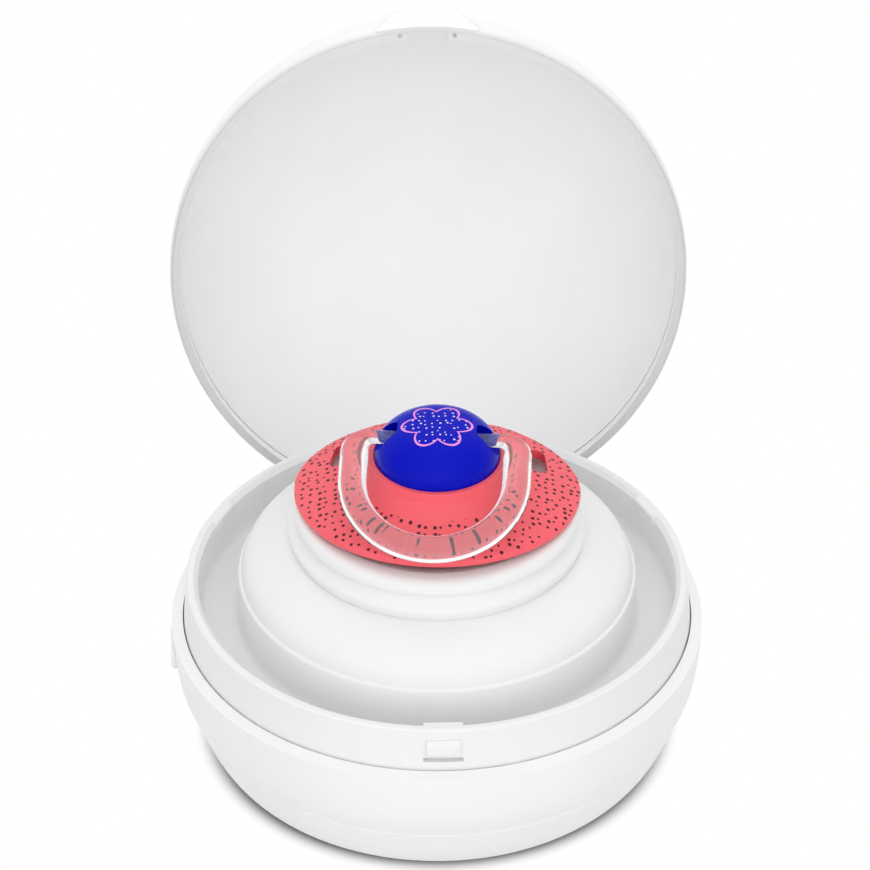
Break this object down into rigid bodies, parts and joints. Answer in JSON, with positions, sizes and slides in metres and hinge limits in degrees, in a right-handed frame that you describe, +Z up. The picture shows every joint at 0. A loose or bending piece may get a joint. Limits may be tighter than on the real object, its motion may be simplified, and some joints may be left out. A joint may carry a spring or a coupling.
{
  "type": "pacifier sterilizer case",
  "caption": "Round clamshell case that disinfects a soother with ultraviolet light: domed lid, raised seat with a lit well, start button, charging socket, removable soother.",
  "frame": {"origin": "centre of the foot ring's rest plane", "axes": "+Z up; the catch faces -Y and the hinge is at +Y; +X is to the right seen from the front"},
  "size_m": [0.1086, 0.172, 0.1248],
  "materials": {
    "body_white": "satin",
    "tray_white": "satin",
    "lid_white": "satin",
    "foot_rubber": "matte",
    "flap_rubber": "matte",
    "reflector": "polished",
    "quartz": "polished",
    "board": "matte",
    "component": "matte",
    "emitter": "satin",
    "steel": "satin",
    "cell_foil": "satin",
    "pad_foam": "matte",
    "shield_coral": "gloss",
    "teat_silicone": "satin",
    "cap_blue": "gloss",
    "handle_clear": "gloss"
  },
  "bodies": {
    "base": {"foot_ring": "foot_rubber", "bottom_cover": "body_white", "outer_shell": "body_white", "inner_tray": "tray_white", "seat_collar": "tray_white", "well_cup": "reflector", "uv_window": "quartz", "led_board": "board", "uv_leds": "emitter", "main_board": "board", "board_parts": "component", "usb_socket": "steel", "battery_pad": "pad_foam", "battery_cell": "cell_foil", "button_switch": "component", "hinge_pin": "steel", "housing_screws": "steel"},
    "lid": {"lid_shell": "lid_white"},
    "button": {"start_button": "body_white"},
    "flap": {"usb_flap": "flap_rubber"},
    "soother": {"pacifier_shield": "shield_coral", "pacifier_teat": "teat_silicone", "pacifier_cap": "cap_blue"},
    "handle": {"pacifier_handle": "handle_clear"}
  },
  "joints": [
    {"name": "lid_hinge", "type": "hinge", "parent": "base", "child": "lid", "pos_m": [0, 0.0482, 0.023], "axis": [-1, 0, 0], "range_deg": [-102.6, 0]},
    {"name": "start_button", "type": "slide", "parent": "base", "child": "button", "axis": [0.9996, 0.0297, 0], "range_m": [0, 0.0006], "stiffness_N_per_m": 400, "springref_m": -0.0008},
    {"name": "usb_flap", "type": "hinge", "parent": "base", "child": "flap", "pos_m": [0, 0.04679, 0.00727], "axis": [-1, 0, 0], "range_deg": [0, 100], "stiffness_Nm_per_rad": 0.0004, "springref_deg": -28.65},
    {"name": "soother_lift", "type": "slide", "parent": "base", "child": "soother", "axis": [0, 0, 1], "range_m": [0, 0.045]},
    {"name": "handle_swing", "type": "hinge", "parent": "soother", "child": "handle", "pos_m": [0, 0, 0.07498], "axis": [-0.9969, 0.0785, 0], "range_deg": [0, 144]}
  ]
}
